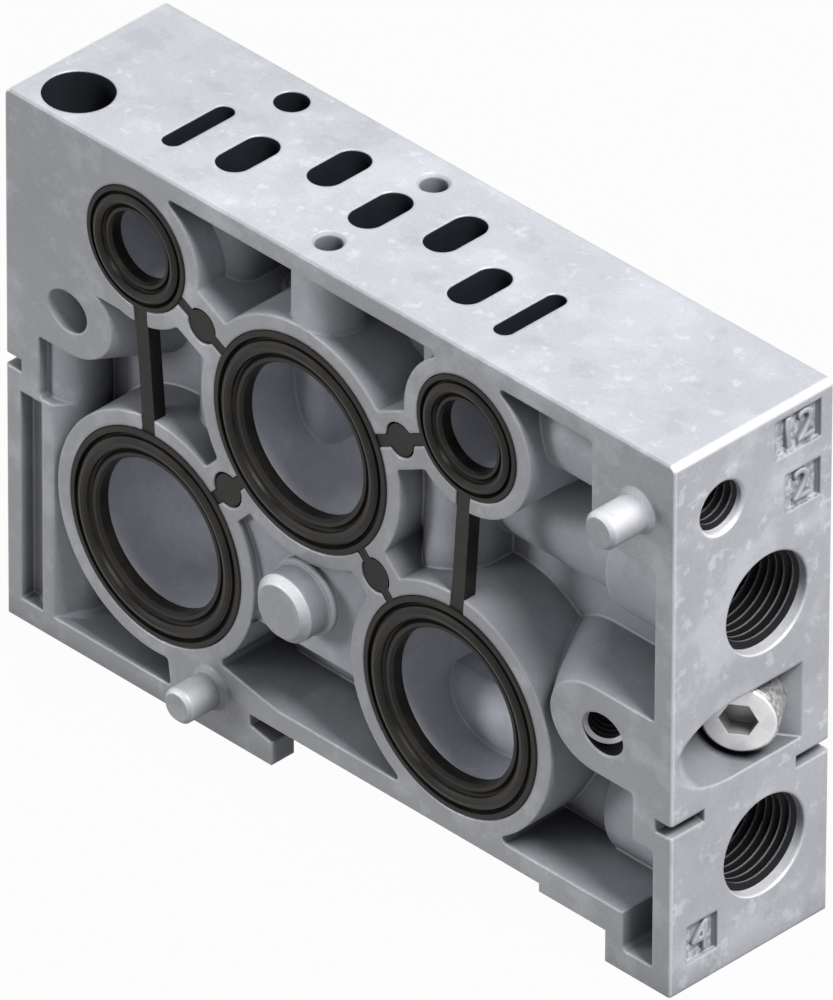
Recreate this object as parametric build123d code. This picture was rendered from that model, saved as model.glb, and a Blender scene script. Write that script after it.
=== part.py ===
"""Stackable valve subplate: a die-cast body with a moulded gasket and two clamp screws.

Everything is drawn in a corner frame: X along the body from its left end, Y from the front
face to the back, Z up from the feet. finish() moves it so that the origin is the middle of
the seat on the mounting rail.
"""

import os
from math import cos, hypot, pi, radians, sin

from build123d import *

# Envelope, in millimetres
LENGTH = 80.5
DEPTH = 19.0
HEIGHT = 54.5
MIDDLE_Y = DEPTH / 2
END_ROUND = 0.8
EDGE_ROUND = 0.3

# Seal rings on the front face: (x, z) of each passage
PILOT_RING_DROP = 9.0
PILOT_RING_Z = HEIGHT - PILOT_RING_DROP
LARGE_RINGS = {"exhaust_a": (18.35, 16.8), "supply": (35.95, 35.25), "exhaust_b": (54.1, 16.85)}
SMALL_RINGS = {"pilot_a": (16.05, PILOT_RING_Z), "pilot_b": (55.9, PILOT_RING_Z)}
RING_CENTRE = {**LARGE_RINGS, **SMALL_RINGS}
LARGE_SEAL_R = 10.4
SMALL_SEAL_R = 5.92
LARGE_PASSAGE_R = 7.4
SMALL_PASSAGE_R = 3.45
GROOVE_GAP = 0.08
GROOVE_DEPTH = 1.45
LAND_WIDTH = 1.48

# Links between the seal rings
BEAD_LINKS = [
    ("pilot_a", "supply"),
    ("pilot_b", "supply"),
    ("exhaust_a", "supply"),
    ("exhaust_b", "supply"),
]
OPEN_LINKS = [("pilot_a", "exhaust_a"), ("pilot_b", "exhaust_b")]
BEAD_R = 1.5
BEAD_GAP = 0.22
LINK_WIDTH = 1.1
OPEN_LINK_WIDTH = 1.5
LINK_WEB_WIDTH = 5.4

# Gasket section, as shares of its width measured inwards from the outer edge
SEAL_PROUD = 0.35
LIP_PROUD = 0.12
OUTER_LIP = (0.03, 0.17)
OUTER_VALLEY = 0.22
BEAD_SPAN = (0.28, 0.68)
BEAD_FACETS = 6
INNER_VALLEY = 0.76
INNER_LIP = (0.82, 0.93)
VALLEY_DROP = 0.3
INNER_LIP_DROP = 0.12
LINK_DROP = 0.1
SEAL_OVERHANG = 0.12

# Walls and front pockets
TOP_WALL = 2.0
RIGHT_WALL = 2.1
LEFT_WALL = 1.8
FOOT_WALL = 2.2
LEDGE_Z = 6.05
POCKET_DEPTH = 15.5
SIDE_POCKET_DEPTH = 8.1
LEFT_POCKET_DEPTH = 5.6
POCKET_CORNER_R = 0.4
WEB_RECESS = 0.8
CENTRE_WEB_Z = 13.6

# Left end: column beside a shallow slot, under the left clamp boss
LEFT_SLOT_WIDTH = 2.65
LEFT_SLOT_DEPTH = 1.55
LEFT_SLOT_TOP_Z = 23.9
LEFT_RIB_X = 5.55
LEFT_STRIP_X = 4.05
LEFT_STRIP_Z = 24.3
LEFT_POCKET_TOP_Z = 38.3
PIN_PAD_X = 20.2
PAD_SLOPE = (24.35, 7.9)
PAD_SLOPE_END_X = 33.3

# Right end: pin pad in the upper corner, slot in the foot
CORNER_PAD_IN = 9.7
CORNER_PAD_DROP = 11.4
CORNER_PAD_R = 3.5
FOOT_SLOT_IN = 5.7
BOSS_FOOT_IN = 4.55
BOSS_FOOT_Z = 14.25

# Feet and mounting rail recess
RAIL_WIDTH = 35.0
RAIL_LEFT_X = 29.85
LEFT_FOOT_X = 32.5
RIGHT_FOOT_LENGTH = 7.7
RAIL_ROOF_Z = 4.05
STEP_Z = 3.2
HOOK_Z = 2.3
HOOK_ROOT_Z = 2.9
HOOK_LIP_Y = 2.7

# Valve face: slots as (width, length), and their rows across the depth
PILOT_SLOT = (2.0, 8.0)
FLOW_SLOT = (3.4, 6.5)
FRONT_ROW_SHIFT = 1.95
SUPPLY_ROW_SHIFT = 0.1
BACK_ROW_SHIFT = 2.1
FRONT_ROW_Y = MIDDLE_Y - FRONT_ROW_SHIFT
SUPPLY_ROW_Y = MIDDLE_Y + SUPPLY_ROW_SHIFT
BACK_ROW_Y = MIDDLE_Y + BACK_ROW_SHIFT
SLOT_PITCH = 6.98
SUPPLY_SLOT_X = 35.9
PILOT_SLOT_PITCH = 19.95
VALVE_SCREW_X = 36.1
VALVE_SCREW_SPACING = 12.5
VALVE_SCREW_R = 1.25
VALVE_SCREW_DEPTH = 9.0
VALVE_SCREW_CHAMFER = 0.28
SCREW_BOSS_R = 3.2
LOCATING_HOLE_SHIFT = 6.3
LOCATING_HOLE = (18.9, MIDDLE_Y + LOCATING_HOLE_SHIFT)
LOCATING_HOLE_R = 1.6
LOCATING_HOLE_DEPTH = 6.0

# Walls of the cast housings round the channels
CHANNEL_WALL = 1.3
FRONT_CHANNEL_WALL = 1.75
HOUSING_CORNER_R = 2.15
EXHAUST_WALL = 1.9
TUBE_WALL = 2.2
BORE_WALL = 0.8

# Rail fixing hole down the left column
RAIL_HOLE = (5.1, 3.92)
RAIL_COUNTERBORE_R = 3.25
RAIL_COUNTERBORE_DEPTH = 13.5
RAIL_SCREW_R = 1.7
COLUMN_R = 2.95
COLUMN_TOP_Z = 31.0
COLUMN_FOOT = 0.5
RIB_EDGE_R = 0.35

# Ports on the right end: (y, z)
UPPER_PORT_SHIFT = 1.8
LOWER_PORT_SHIFT = 1.85
UPPER_PORT = (MIDDLE_Y + UPPER_PORT_SHIFT, 35.3)
LOWER_PORT = (MIDDLE_Y + LOWER_PORT_SHIFT, 10.3)
PORT_THREAD_R = 4.864
PORT_DEPTH = 12.0
PORT_CHAMFER = 0.12
PORT_BOSS_R = 6.5
PORT_BOSS_LENGTH = 12.75
CHANNEL_R = 3.4
UPPER_CHANNEL_R = 3.0
UPPER_CHANNEL_SHIFT = 1.6
PILOT_PORT_SHIFT = 3.75
PILOT_PORT_DROP = 6.8
PILOT_PORT = (MIDDLE_Y - PILOT_PORT_SHIFT, HEIGHT - PILOT_PORT_DROP)
PILOT_THREAD_R = 2.5
PILOT_THREAD_DEPTH = 8.0
PILOT_DRILL_R = 1.6
PILOT_CHAMFER = 0.25
PILOT_BOSS_R = 3.8

# Clamp screws, one at each end, leaning outwards in plan: (x, z) of each tapped hole's mouth
CLAMP_ANGLE = 35.0
RIGHT_CLAMP_IN = 8.2
LEFT_CLAMP_IN = 7.6
RIGHT_CLAMP = (LENGTH - RIGHT_CLAMP_IN, 23.25)
LEFT_CLAMP = (LEFT_CLAMP_IN, 35.0)
CLAMP_THREAD_R = 2.0
CLAMP_THREAD_DEPTH = 10.5
CLAMP_BOSS_R = 4.3
CLAMP_BOSS_LENGTH = 14.0
RIGHT_BOSS_LEAD = 1.0
LEFT_BOSS_LEAD = 0.1
CLAMP_CLEARANCE = 0.25
SEAT_THICKNESS = 7.4
HEAD_R = 3.5
HEAD_HEIGHT = 4.0
HEAD_CLEARANCE = 0.4
HEAD_CHAMFER = 0.35
HEX_ACROSS_FLATS = 3.0
HEX_DEPTH = 2.0
SCREW_LENGTH = 16.0
SCREW_POINT = 0.5

# Cast pins on the front face, as (x, z, radius, length), and their sockets in the back face
UPPER_PIN_IN = 4.4
UPPER_PIN_DROP = 6.4
LOWER_PIN = (25.05, 4.35, 1.7, 4.1)
UPPER_PIN = (LENGTH - UPPER_PIN_IN, HEIGHT - UPPER_PIN_DROP, 1.8, 4.6)
CENTRE_PIN = (36.3, 19.35, 3.25, 2.9)
PIN_CHAMFER = 0.22
PIN_COLLAR = 0.4
CENTRE_COLLAR_PROUD = 0.1
SOCKET_CLEARANCE = 0.15
SOCKET_EXTRA_DEPTH = 0.5

# Label slots in both ends
NOTCH_HEIGHT = 1.3
NOTCH_IN = 1.95
NOTCH_BACK = 4.0
RIGHT_NOTCH_Z = 16.4
LEFT_NOTCH_Z = 25.9

# Sunk windows for cast port numbers: the upper two as (in from the back face, down from the
# valve face, width), the lower one as (y, z, width)
UPPER_WINDOWS = [(4.25, 3.15, 5.5), (3.6, 9.1, 4.2)]
LOWER_WINDOW = (3.85, 4.4, 3.7)
WINDOW_HEIGHT = 3.9
WINDOW_DEPTH = 0.45

RAIL_SEAT = (RAIL_LEFT_X + RAIL_WIDTH / 2, MIDDLE_Y, RAIL_ROOF_Z)


def front(sketch, near, far):
    """A sketch in X and Z, carried from depth near to depth far."""
    return extrude(Plane.XZ.offset(-near) * sketch, amount=near - far)


def upright(sketch, low, high):
    """A sketch in X and Y, carried from height low to height high."""
    return extrude(Plane.XY.offset(low) * sketch, amount=high - low)


def lengthways(sketch, left, right):
    """A sketch in Y and Z, carried from left to right."""
    return extrude(Plane.YZ.offset(left) * sketch, amount=right - left)


def joined(shapes):
    """All the shapes of a list as one."""
    whole = shapes[0]
    for shape in shapes[1:]:
        whole += shape
    return whole


def disc(centre, radius):
    return Pos(*centre) * Circle(radius)


def region(*points):
    return make_face(Polyline(*points, close=True))


def strip(start, end, width):
    """A straight strip between two points, square at both ends."""
    run = (end[0] - start[0], end[1] - start[1])
    length = hypot(*run)
    side = (-run[1] / length * width / 2, run[0] / length * width / 2)
    return region(
        (start[0] + side[0], start[1] + side[1]),
        (end[0] + side[0], end[1] + side[1]),
        (end[0] - side[0], end[1] - side[1]),
        (start[0] - side[0], start[1] - side[1]),
    )


def softened(sketch):
    """Rounds the outward corners of a pocket's outline, and drops parts too narrow to round.

    A part with a neck that can't be offset keeps its sharp corners.
    """
    shapes = []
    for face in sketch.faces():
        if face.area < POCKET_CORNER_R * face.outer_wire().length:
            continue
        try:
            shapes.append(offset(offset(face, -POCKET_CORNER_R), POCKET_CORNER_R))
        except RuntimeError:
            shapes.append(face)
    return joined(shapes)


def flare(plane, radius, size):
    """Cone that narrows to the radius along the plane's normal: a countersink or a foot."""
    return plane * Cone(radius + size, radius, size, align=(Align.CENTER, Align.CENTER, Align.MIN))


def seal_radius(ring):
    return LARGE_SEAL_R if ring in LARGE_RINGS else SMALL_SEAL_R


def passage_radius(ring):
    return LARGE_PASSAGE_R if ring in LARGE_RINGS else SMALL_PASSAGE_R


def land_radius(ring):
    return seal_radius(ring) + GROOVE_GAP + LAND_WIDTH


def link_ends(link):
    return RING_CENTRE[link[0]], RING_CENTRE[link[1]]


def bead_centre(link):
    """The middle of the gap between two seal rings, on the line of their centres."""
    (x1, z1), (x2, z2) = link_ends(link)
    length = hypot(x2 - x1, z2 - z1)
    share = (length + seal_radius(link[0]) - seal_radius(link[1])) / 2 / length
    return x1 + share * (x2 - x1), z1 + share * (z2 - z1)


def slot_outline(centre, size, wall=0.0):
    """A slot across the valve face, lying along Y, with an optional wall round it."""
    width, length = size
    return Pos(*centre) * Rot(0, 0, 90) * SlotOverall(length + 2 * wall, width + 2 * wall)


def flow_slots():
    """Centre of each flow slot on the valve face, by what it feeds."""
    return {
        "exhaust_a": (SUPPLY_SLOT_X - 2 * SLOT_PITCH, FRONT_ROW_Y),
        "outlet_4": (SUPPLY_SLOT_X - SLOT_PITCH, BACK_ROW_Y),
        "supply": (SUPPLY_SLOT_X, SUPPLY_ROW_Y),
        "outlet_2": (SUPPLY_SLOT_X + SLOT_PITCH, BACK_ROW_Y),
        "exhaust_b": (SUPPLY_SLOT_X + 2 * SLOT_PITCH, FRONT_ROW_Y),
    }


def flow_floor(name):
    """How far down a flow slot runs: to its passage, or to the cross channel to its port."""
    channel = {"outlet_2": UPPER_PORT[1], "outlet_4": LOWER_PORT[1]}
    return channel[name] if name in channel else RING_CENTRE[name][1]


def valve_screws():
    spread = VALVE_SCREW_SPACING / 2
    return [(VALVE_SCREW_X, MIDDLE_Y - spread), (VALVE_SCREW_X, MIDDLE_Y + spread)]


def clamps():
    """Mouth of each tapped clamp hole, with +1 for the right end and -1 for the left."""
    return [(RIGHT_CLAMP, 1), (LEFT_CLAMP, -1)]


def clamp_plane(mouth, side, depth=0.0):
    """Plane across a clamp screw's line; its normal points back out of the front face.

    The line starts at the mouth in the front face and leans towards the middle of the body.
    depth is measured along the line. Local x is up, and local y points, at the right end,
    towards the middle of the body and, at the left end, away from it.
    """
    outward = Vector(side * sin(radians(CLAMP_ANGLE)), -cos(radians(CLAMP_ANGLE)), 0)
    origin = Vector(mouth[0], 0, mouth[1]) - outward * depth
    return Plane(origin=origin, x_dir=(0, 0, 1), z_dir=outward)


def seat_plane(mouth, side):
    """Plane of a clamp screw's seat: the line starts where it leaves the back face."""
    lifted = clamp_plane(mouth, side, -SEAT_THICKNESS)
    return Plane(origin=lifted.origin + Vector(0, DEPTH, 0), x_dir=lifted.x_dir, z_dir=lifted.z_dir)


def clamp_nose(mouth, side):
    """Centre of the rounded nose of a clamp boss in the front face."""
    lead = RIGHT_BOSS_LEAD if side > 0 else LEFT_BOSS_LEAD
    return mouth[0] - side * lead, mouth[1]


def open_ended(radius, side):
    """Outline across a clamp screw's line: a disc, carried on straight past the body's end."""
    return Circle(radius) + Pos(0, -side * LENGTH / 4) * Rectangle(2 * radius, LENGTH / 2)


def side_outline():
    """Front view of the whole casting, with the hook and step for a mounting rail."""
    return region(
        (0, 0),
        (LEFT_FOOT_X, 0),
        (LEFT_FOOT_X, HOOK_Z),
        (RAIL_LEFT_X, HOOK_ROOT_Z),
        (RAIL_LEFT_X, RAIL_ROOF_Z),
        (RAIL_LEFT_X + RAIL_WIDTH, RAIL_ROOF_Z),
        (RAIL_LEFT_X + RAIL_WIDTH, STEP_Z),
        (LENGTH - RIGHT_FOOT_LENGTH, STEP_Z),
        (LENGTH - RIGHT_FOOT_LENGTH, 0),
        (LENGTH, 0),
        (LENGTH, HEIGHT),
        (0, HEIGHT),
    )


def lands():
    """Everything that the seals need behind them: a tube round each passage, and link webs."""
    rings = [disc(centre, land_radius(ring)) for ring, centre in RING_CENTRE.items()]
    return joined(rings + [strip(*link_ends(link), LINK_WEB_WIDTH) for link in BEAD_LINKS])


def clamp_boss_face(mouth, side):
    """Flat face round a tapped hole's mouth, rounded on the inner side and open to the end."""
    nose = clamp_nose(mouth, side)
    end_x = LENGTH if side > 0 else 0
    return disc(nose, CLAMP_BOSS_R) + strip(nose, (end_x, mouth[1]), 2 * CLAMP_BOSS_R)


def centre_web():
    """The triangle between the three large rings, above the bottom pocket."""
    return region(
        (LARGE_RINGS["exhaust_a"][0], CENTRE_WEB_Z),
        (LARGE_RINGS["exhaust_b"][0], CENTRE_WEB_Z),
        LARGE_RINGS["supply"],
    )


def deep_pockets():
    """The deep pockets under the top wall, at the right end and along the bottom."""
    inner_x = LENGTH - RIGHT_WALL
    ceiling = HEIGHT - TOP_WALL
    pad_x = LENGTH - CORNER_PAD_IN
    pad_z = HEIGHT - CORNER_PAD_DROP
    slot_x = LENGTH - FOOT_SLOT_IN
    foot_x = LENGTH - BOSS_FOOT_IN
    whole = region(
        RING_CENTRE["pilot_a"],
        (RING_CENTRE["pilot_a"][0], ceiling),
        (pad_x, ceiling),
        (pad_x, pad_z),
        (inner_x, pad_z),
        (inner_x, FOOT_WALL),
        (slot_x, FOOT_WALL),
        (slot_x, LEDGE_Z),
        (PAD_SLOPE_END_X, LEDGE_Z),
        PAD_SLOPE,
        (LARGE_RINGS["exhaust_a"][0], CENTRE_WEB_Z),
        RING_CENTRE["supply"],
    )
    pad_size = (2 * (UPPER_PIN[0] - pad_x), 2 * (UPPER_PIN[1] - pad_z))
    pad = Pos(UPPER_PIN[0], UPPER_PIN[1]) * RectangleRounded(*pad_size, CORNER_PAD_R)
    boss = clamp_boss_face(RIGHT_CLAMP, 1)
    boss_foot = region(
        (foot_x, RIGHT_CLAMP[1]),
        (LENGTH, RIGHT_CLAMP[1]),
        (LENGTH, BOSS_FOOT_Z),
        (foot_x, BOSS_FOOT_Z),
    )
    return softened(whole - lands() - centre_web() - pad - boss - boss_foot)


def left_pocket():
    """The shallow pocket between the left end and the ring lands."""
    outline = region(
        (LEFT_RIB_X, FOOT_WALL),
        (PIN_PAD_X, FOOT_WALL),
        RING_CENTRE["exhaust_a"],
        RING_CENTRE["supply"],
        RING_CENTRE["pilot_a"],
        (RING_CENTRE["pilot_a"][0], LEFT_POCKET_TOP_Z),
        (LEFT_STRIP_X, LEFT_POCKET_TOP_Z),
        (LEFT_STRIP_X, LEFT_STRIP_Z),
        (LEFT_RIB_X, LEFT_STRIP_Z),
    )
    return softened(outline - lands() - clamp_boss_face(LEFT_CLAMP, -1))


def left_slot():
    """The shallow slot that leaves a thin rib beside the column."""
    low, high = FOOT_WALL, LEFT_SLOT_TOP_Z
    return Pos(LEFT_WALL + LEFT_SLOT_WIDTH / 2, (low + high) / 2) * Rectangle(LEFT_SLOT_WIDTH, high - low)


def channel_housings():
    """Cast tubes round the vertical channels, and round the cross channels to the ports."""
    slots = flow_slots()
    wall = {"exhaust_a": CHANNEL_WALL, "exhaust_b": EXHAUST_WALL}
    top = HEIGHT - TOP_WALL / 2
    end = LENGTH - RIGHT_WALL / 2
    shapes = [
        upright(slot_outline(centre, FLOW_SLOT, wall.get(name, CHANNEL_WALL)), flow_floor(name), top)
        for name, centre in slots.items()
    ]
    for name, port in (("outlet_2", UPPER_PORT), ("outlet_4", LOWER_PORT)):
        shapes.append(lengthways(disc(port, CHANNEL_R + TUBE_WALL), slots[name][0], end))
        shapes.append(lengthways(disc(port, PORT_BOSS_R), LENGTH - PORT_BOSS_LENGTH, end))
    shapes.append(lengthways(disc(PILOT_PORT, PILOT_BOSS_R), RING_CENTRE["pilot_b"][0], end))
    return joined(shapes)


def side_floor():
    """Raised floor between the right exhaust's tube, the upper cross channel and the end."""
    left = flow_slots()["exhaust_b"][0]
    low = RING_CENTRE["exhaust_b"][1]
    outline = region((left, low), (LENGTH, low), (LENGTH, UPPER_PORT[1]), (left, UPPER_PORT[1]))
    return front(outline, SIDE_POCKET_DEPTH, DEPTH)


def column():
    """The rail screw's column, flared at its foot, with a slope from it to the rib's edge."""
    edge = disc((LEFT_RIB_X, RIB_EDGE_R), RIB_EDGE_R)
    slope = make_hull([*disc(RAIL_HOLE, COLUMN_R).edges(), *edge.edges()])
    foot = flare(Plane(origin=(*RAIL_HOLE, FOOT_WALL)), COLUMN_R, COLUMN_FOOT)
    shaft = upright(disc(RAIL_HOLE, COLUMN_R), FOOT_WALL / 2, COLUMN_TOP_Z + CLAMP_BOSS_R)
    return shaft + upright(slope, FOOT_WALL / 2, LEFT_STRIP_Z) + foot


def bosses():
    """The valve screw's boss, the rail screw's column and the two clamp bosses."""
    boss = disc(valve_screws()[0], SCREW_BOSS_R)
    shapes = [upright(boss, RING_CENTRE["supply"][1], HEIGHT - TOP_WALL / 2), column()]
    for mouth, side in clamps():
        root = clamp_plane(clamp_nose(mouth, side), side, CLAMP_BOSS_LENGTH)
        shapes.append(extrude(root * open_ended(CLAMP_BOSS_R, side), amount=2 * CLAMP_BOSS_LENGTH))
    return joined(shapes)


def pins():
    """The three pins cast on the front face, each with a small collar at its root."""
    shapes = []
    for x, z, radius, length in (LOWER_PIN, UPPER_PIN, CENTRE_PIN):
        root = 2 * WEB_RECESS
        pin = front(disc((x, z), radius), -length, root)
        shapes.append(chamfer(pin.faces().sort_by(Axis.Y)[0].edges(), radius * PIN_CHAMFER))
        proud = PIN_COLLAR if radius < CENTRE_PIN[2] else CENTRE_COLLAR_PROUD
        collar = front(disc((x, z), radius + PIN_COLLAR), -proud, root)
        shapes.append(chamfer(collar.faces().sort_by(Axis.Y)[0].edges(), PIN_COLLAR * 0.9))
    return joined(shapes)


def sockets():
    """Blind holes in the back face for the next body's pins."""
    shapes = []
    for x, z, radius, length in (LOWER_PIN, UPPER_PIN, CENTRE_PIN):
        floor = DEPTH - length - SOCKET_EXTRA_DEPTH
        shapes.append(front(disc((x, z), radius + SOCKET_CLEARANCE), floor, DEPTH))
    return joined(shapes)


def seal_grooves():
    """Ring grooves and link grooves that hold the gasket."""
    plans = [disc(centre, seal_radius(ring) + GROOVE_GAP) for ring, centre in RING_CENTRE.items()]
    for link in BEAD_LINKS:
        plans.append(strip(*link_ends(link), LINK_WIDTH + 2 * GROOVE_GAP))
        plans.append(disc(bead_centre(link), BEAD_R + BEAD_GAP))
    for link in OPEN_LINKS:
        plans.append(strip(*link_ends(link), OPEN_LINK_WIDTH + 2 * GROOVE_GAP))
    return front(joined(plans), 0, GROOVE_DEPTH)


def passages():
    rings = RING_CENTRE.items()
    return joined([front(disc(centre, passage_radius(ring)), 0, DEPTH) for ring, centre in rings])


def housings_in_passages():
    """What crosses the large passages: two vertical channels and the lower cross channel."""
    slots = flow_slots()
    supply_z = RING_CENTRE["supply"][1]
    reach = (supply_z - LARGE_PASSAGE_R - 1, supply_z + LARGE_PASSAGE_R + 1)
    width, length = FLOW_SLOT
    outline = RectangleRounded(width + 2 * CHANNEL_WALL, length + 2 * FRONT_CHANNEL_WALL, HOUSING_CORNER_R)
    shapes = [upright(Pos(*slots[name]) * outline, *reach) for name in ("outlet_2", "outlet_4")]

    x = RING_CENTRE["exhaust_b"][0]
    half = LARGE_PASSAGE_R + 1
    radius = CHANNEL_R + TUBE_WALL
    roof = LOWER_PORT[1] + CHANNEL_R + BORE_WALL
    over = Pos(LOWER_PORT[0], roof + radius) * Rectangle(2 * radius, 2 * radius)
    shapes.append(lengthways(disc(LOWER_PORT, radius) - over, x - half, x + half))
    return joined(shapes)


def exhaust_b_channel():
    """The right exhaust's channel, narrowed where it passes in front of the upper cross channel."""
    x, y = flow_slots()["exhaust_b"]
    width, length = FLOW_SLOT
    neck_top = UPPER_PORT[1] + UPPER_CHANNEL_R + 2 * BORE_WALL
    front_y = y - length / 2
    back_y = UPPER_PORT[0] + UPPER_CHANNEL_SHIFT - UPPER_CHANNEL_R - BORE_WALL
    neck = Pos(x, (front_y + back_y) / 2) * Rectangle(width, back_y - front_y)
    wide = upright(slot_outline((x, y), FLOW_SLOT), neck_top, HEIGHT)
    return wide + upright(neck, RING_CENTRE["exhaust_b"][1], neck_top)


def channels():
    """Everything that runs down from the slots in the valve face."""
    slots = flow_slots()
    shapes = [exhaust_b_channel()]
    for side, ring in ((-1, "pilot_a"), (1, "pilot_b")):
        centre = (SUPPLY_SLOT_X + side * PILOT_SLOT_PITCH, FRONT_ROW_Y)
        shapes.append(upright(slot_outline(centre, PILOT_SLOT), RING_CENTRE[ring][1], HEIGHT))
    for name in ("exhaust_a", "supply", "outlet_2", "outlet_4"):
        shapes.append(upright(slot_outline(slots[name], FLOW_SLOT), flow_floor(name), HEIGHT))
    return joined(shapes)


def ports():
    """The tapped ports in the right end, each with the channel behind it."""
    slots = flow_slots()
    port_x = LENGTH - PORT_DEPTH
    upper_channel = disc((UPPER_PORT[0] + UPPER_CHANNEL_SHIFT, UPPER_PORT[1]), UPPER_CHANNEL_R)
    shapes = [
        lengthways(upper_channel, slots["outlet_2"][0], port_x),
        lengthways(disc(LOWER_PORT, CHANNEL_R), slots["outlet_4"][0], port_x),
        lengthways(disc(PILOT_PORT, PILOT_DRILL_R), RING_CENTRE["pilot_b"][0], LENGTH),
    ]
    for centre, radius, depth, edge in (
        (UPPER_PORT, PORT_THREAD_R, PORT_DEPTH, PORT_CHAMFER),
        (LOWER_PORT, PORT_THREAD_R, PORT_DEPTH, PORT_CHAMFER),
        (PILOT_PORT, PILOT_THREAD_R, PILOT_THREAD_DEPTH, PILOT_CHAMFER),
    ):
        shapes.append(lengthways(disc(centre, radius), LENGTH - depth, LENGTH))
        shapes.append(flare(Plane(origin=(LENGTH, *centre), z_dir=(-1, 0, 0)), radius, edge))
    return joined(shapes)


def valve_face_holes():
    """Valve screw holes, the locating hole and the counterbored hole for the rail screw."""
    shapes = []
    for hole in valve_screws():
        mouth = Plane(origin=(*hole, HEIGHT), z_dir=(0, 0, -1))
        shapes.append(upright(disc(hole, VALVE_SCREW_R), HEIGHT - VALVE_SCREW_DEPTH, HEIGHT))
        shapes.append(flare(mouth, VALVE_SCREW_R, VALVE_SCREW_CHAMFER))
    shapes.append(upright(disc(LOCATING_HOLE, LOCATING_HOLE_R), HEIGHT - LOCATING_HOLE_DEPTH, HEIGHT))
    shapes.append(upright(disc(RAIL_HOLE, RAIL_COUNTERBORE_R), HEIGHT - RAIL_COUNTERBORE_DEPTH, HEIGHT))
    shapes.append(upright(disc(RAIL_HOLE, RAIL_SCREW_R), 0, HEIGHT))
    return joined(shapes)


def clamp_cuts():
    """For each end: the tapped hole in front, the screw's clearance hole and its head pocket."""
    shapes = []
    for mouth, side in clamps():
        root = clamp_plane(mouth, side, CLAMP_THREAD_DEPTH)
        seat = seat_plane(mouth, side)
        shapes.append(extrude(root * Circle(CLAMP_THREAD_R), amount=CLAMP_THREAD_DEPTH + CLAMP_THREAD_R))
        shapes.append(extrude(seat * Circle(CLAMP_THREAD_R + CLAMP_CLEARANCE), amount=-2 * SEAT_THICKNESS))
        shapes.append(extrude(seat * open_ended(HEAD_R + HEAD_CLEARANCE, side), amount=DEPTH))
    return joined(shapes)


def label_notches():
    """Short slots in the corners of both ends."""
    shapes = []
    for x, low in ((LENGTH - NOTCH_IN / 2, RIGHT_NOTCH_Z), (NOTCH_IN / 2, LEFT_NOTCH_Z)):
        for y in (NOTCH_BACK / 2, DEPTH - NOTCH_BACK / 2):
            shapes.append(Pos(x, y, low + NOTCH_HEIGHT / 2) * Box(NOTCH_IN, NOTCH_BACK, NOTCH_HEIGHT))
    return joined(shapes)


def number_windows():
    """Sunk rectangles in the right end that hold the port numbers."""
    windows = [(DEPTH - back, HEIGHT - drop, width) for back, drop, width in UPPER_WINDOWS]
    shapes = []
    for y, z, width in windows + [LOWER_WINDOW]:
        outline = Pos(y, z) * Rectangle(width, WINDOW_HEIGHT)
        shapes.append(lengthways(outline, LENGTH - WINDOW_DEPTH, LENGTH))
    return joined(shapes)


def hook_relief():
    """Cuts the hook away between its front and back lips."""
    width = LEFT_FOOT_X - RAIL_LEFT_X
    centre = Pos(RAIL_LEFT_X + width / 2, MIDDLE_Y, HOOK_ROOT_Z / 2)
    return centre * Box(width, DEPTH - 2 * HOOK_LIP_Y, HOOK_ROOT_Z)


def envelope():
    """The solid block with its rail recess and its rounded outer edges."""
    block = front(side_outline(), 0, DEPTH)
    block = fillet(block.edges().filter_by(Axis.Y).group_by(Axis.Z)[-1], END_ROUND)
    tall = block.edges().filter_by(Axis.Z).filter_by(lambda edge: edge.length > HEIGHT / 2)
    return fillet(tall, EDGE_ROUND)


def casting():
    """The die-cast body: pockets, then housings in them, then everything drilled or cored."""
    block = envelope()
    body = block - front(deep_pockets(), 0, POCKET_DEPTH) - front(left_pocket(), 0, LEFT_POCKET_DEPTH)
    body -= front(left_slot(), 0, LEFT_SLOT_DEPTH)
    body -= front(centre_web() - lands(), 0, WEB_RECESS)
    body += (channel_housings() + side_floor() + bosses()) & block
    body -= passages()
    body += housings_in_passages()
    body += pins()
    for cut in (
        seal_grooves(),
        channels(),
        ports(),
        valve_face_holes(),
        clamp_cuts(),
        sockets(),
        label_notches(),
        number_windows(),
        hook_relief(),
    ):
        body -= cut
    return body


def seal_section(ring):
    """Half section of a seal ring, with local x outwards and local y out of the front face."""
    outer = seal_radius(ring)
    width = outer - passage_radius(ring) + SEAL_OVERHANG
    points = [(0, -GROOVE_DEPTH), (0, 0), (OUTER_LIP[0], LIP_PROUD), (OUTER_LIP[1], LIP_PROUD)]
    points.append((OUTER_VALLEY, -VALLEY_DROP))
    middle = sum(BEAD_SPAN) / 2
    for step in range(BEAD_FACETS + 1):
        turn = pi * step / BEAD_FACETS
        rise = (SEAL_PROUD + VALLEY_DROP / 2) * sin(turn)
        points.append((middle - (middle - BEAD_SPAN[0]) * cos(turn), rise - VALLEY_DROP / 2))
    points.append((INNER_VALLEY, -VALLEY_DROP - INNER_LIP_DROP))
    points += [(INNER_LIP[0], -INNER_LIP_DROP), (INNER_LIP[1], -INNER_LIP_DROP)]
    points += [(1, -VALLEY_DROP - INNER_LIP_DROP), (1, -GROOVE_DEPTH)]
    return region(*[(outer - share * width, height) for share, height in points])


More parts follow.
